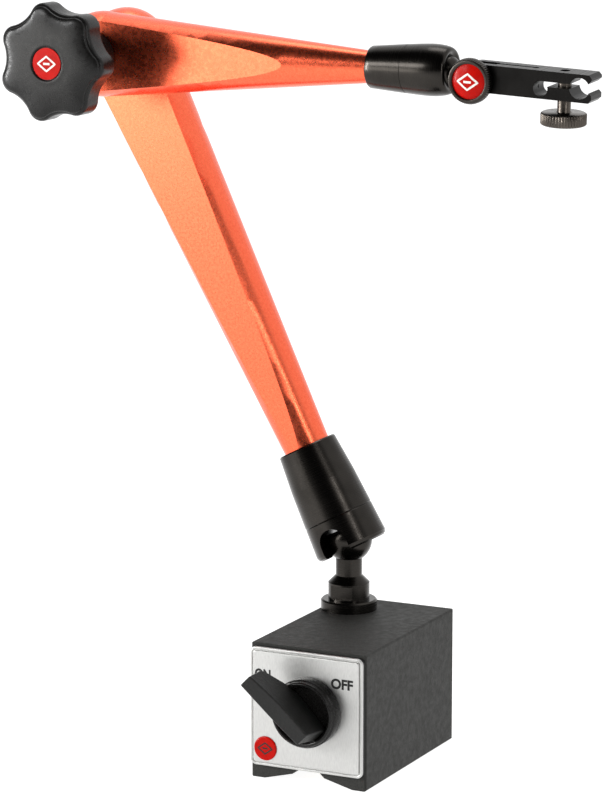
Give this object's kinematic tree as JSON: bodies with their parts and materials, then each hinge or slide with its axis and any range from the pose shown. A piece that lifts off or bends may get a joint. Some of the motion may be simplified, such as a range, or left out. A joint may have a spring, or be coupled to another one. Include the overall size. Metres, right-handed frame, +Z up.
{
  "type": "articulated magnetic stand",
  "caption": "Articulated stand for a dial indicator: switchable magnetic base with a vee foot, arm with ball joints and a knob-locked elbow, and a split clamp with a thumbscrew.",
  "frame": {"origin": "middle of the magnetic base's underside, at the level of its two feet", "axes": "+Z up from the table, +Y from the switch face to the back of the base, +X to the right seen from the switch"},
  "size_m": [0.2385, 0.1108, 0.3051],
  "materials": {
    "textured_paint": "fine textured dark grey paint",
    "burnished_steel": "black oxide over machined steel, satin",
    "orange_anodise": "orange-red anodised, fine machined grain",
    "plate_steel": "light brushed metal",
    "black_plastic": "satin moulded black",
    "dial_plastic": "semi-gloss moulded black",
    "badge_red": null,
    "gasket_rubber": "black rubber sheet",
    "inner_brass": "turned brass, out of sight",
    "inner_magnet": "ground ferrite, out of sight",
    "inner_steel": "turned steel, out of sight"
  },
  "bodies": {
    "base": {"pole_left": "textured_paint", "pole_right": "textured_paint", "divider_upper": "textured_paint", "divider_lower": "inner_brass", "front_bush": "inner_brass", "rear_plug": "inner_brass", "plate_gasket": "gasket_rubber", "switch_plate": "plate_steel", "stop_pin": "inner_steel", "plate_badge": "badge_red", "post_collar": "burnished_steel", "post_stud": "burnished_steel"},
    "switch": {"rotor_magnet": "inner_magnet", "rotor_shoe_left": "inner_steel", "rotor_shoe_right": "inner_steel", "rotor_front_shaft": "inner_brass", "rotor_rear_shaft": "inner_brass", "switch_dial": "dial_plastic", "switch_lever": "black_plastic"},
    "lower_ball": {"lower_ball": "burnished_steel"},
    "lower_sleeve": {"lower_sleeve": "burnished_steel", "lower_ball_seat": "inner_steel"},
    "lower_arm": {"lower_arm": "orange_anodise", "lower_push_rod": "inner_steel", "elbow_nut": "inner_steel", "elbow_rear_cap": "burnished_steel", "elbow_washer": "inner_steel"},
    "upper_arm": {"upper_arm": "orange_anodise", "upper_push_rod": "inner_steel"},
    "star_knob": {"star_knob": "black_plastic", "knob_insert": "inner_steel", "knob_badge": "badge_red", "elbow_bolt": "burnished_steel"},
    "upper_sleeve": {"upper_sleeve": "burnished_steel", "upper_ball_seat": "inner_steel"},
    "upper_ball": {"upper_ball": "burnished_steel"},
    "upper_stud": {"upper_stud": "burnished_steel"},
    "clamp_bar": {"clamp_bar": "burnished_steel"},
    "pivot_knob": {"pivot_knob": "burnished_steel", "pivot_badge": "badge_red", "pivot_screw": "burnished_steel"},
    "thumbscrew": {"clamp_thumbscrew": "burnished_steel"}
  },
  "joints": [
    {"name": "magnet_switch", "type": "hinge", "parent": "base", "child": "switch", "pos_m": [0.00165, -0.048, 0.03095], "axis": [0, 1, 0], "range_deg": [0, 90]},
    {"name": "lower_swivel", "type": "hinge", "parent": "base", "child": "lower_ball", "pos_m": [-0.01385, 0.024, 0.0847], "axis": [0, 0, 1], "continuous": true},
    {"name": "lower_lean", "type": "hinge", "parent": "lower_ball", "child": "lower_sleeve", "pos_m": [-0.01385, 0.024, 0.0847], "axis": [0, 1, 0], "range_deg": [-5, 60]},
    {"name": "lower_twist", "type": "hinge", "parent": "lower_sleeve", "child": "lower_arm", "pos_m": [-0.01385, 0.024, 0.0847], "axis": [-0.4602, 0, 0.8878], "continuous": true},
    {"name": "elbow", "type": "hinge", "parent": "lower_arm", "child": "upper_arm", "pos_m": [-0.11578, 0.0045, 0.28135], "axis": [0, 1, 0], "range_deg": [-230, 45]},
    {"name": "star_knob_turn", "type": "hinge", "parent": "upper_arm", "child": "star_knob", "pos_m": [-0.11578, 0.0045, 0.28135], "axis": [0, -1, 0], "range_deg": [0, 270]},
    {"name": "upper_twist", "type": "hinge", "parent": "upper_arm", "child": "upper_sleeve", "pos_m": [0.03652, 0.0045, 0.28135], "axis": [1, 0, 0], "continuous": true},
    {"name": "upper_tilt", "type": "hinge", "parent": "upper_sleeve", "child": "upper_ball", "pos_m": [0.03652, 0.0045, 0.28135], "axis": [0, 1, 0], "range_deg": [-23, 4]},
    {"name": "stud_roll", "type": "hinge", "parent": "upper_ball", "child": "upper_stud", "pos_m": [0.03652, 0.0045, 0.28135], "axis": [0.9857, 0.0073, -0.1683], "continuous": true},
    {"name": "clamp_pivot", "type": "hinge", "parent": "upper_stud", "child": "clamp_bar", "pos_m": [0.05032, 0.0046, 0.27899], "axis": [0.003, 0.9981, 0.061], "range_deg": [-78, 105]},
    {"name": "pivot_knob_turn", "type": "hinge", "parent": "clamp_bar", "child": "pivot_knob", "pos_m": [0.05032, 0.0046, 0.27899], "axis": [-0.003, -0.9981, -0.061], "range_deg": [0, 270]},
    {"name": "thumbscrew_turn", "type": "hinge", "parent": "clamp_bar", "child": "thumbscrew", "pos_m": [0.08682, 0.00454, 0.27821], "axis": [0.0488, -0.061, 0.9969], "range_deg": [0, 270]}
  ]
}
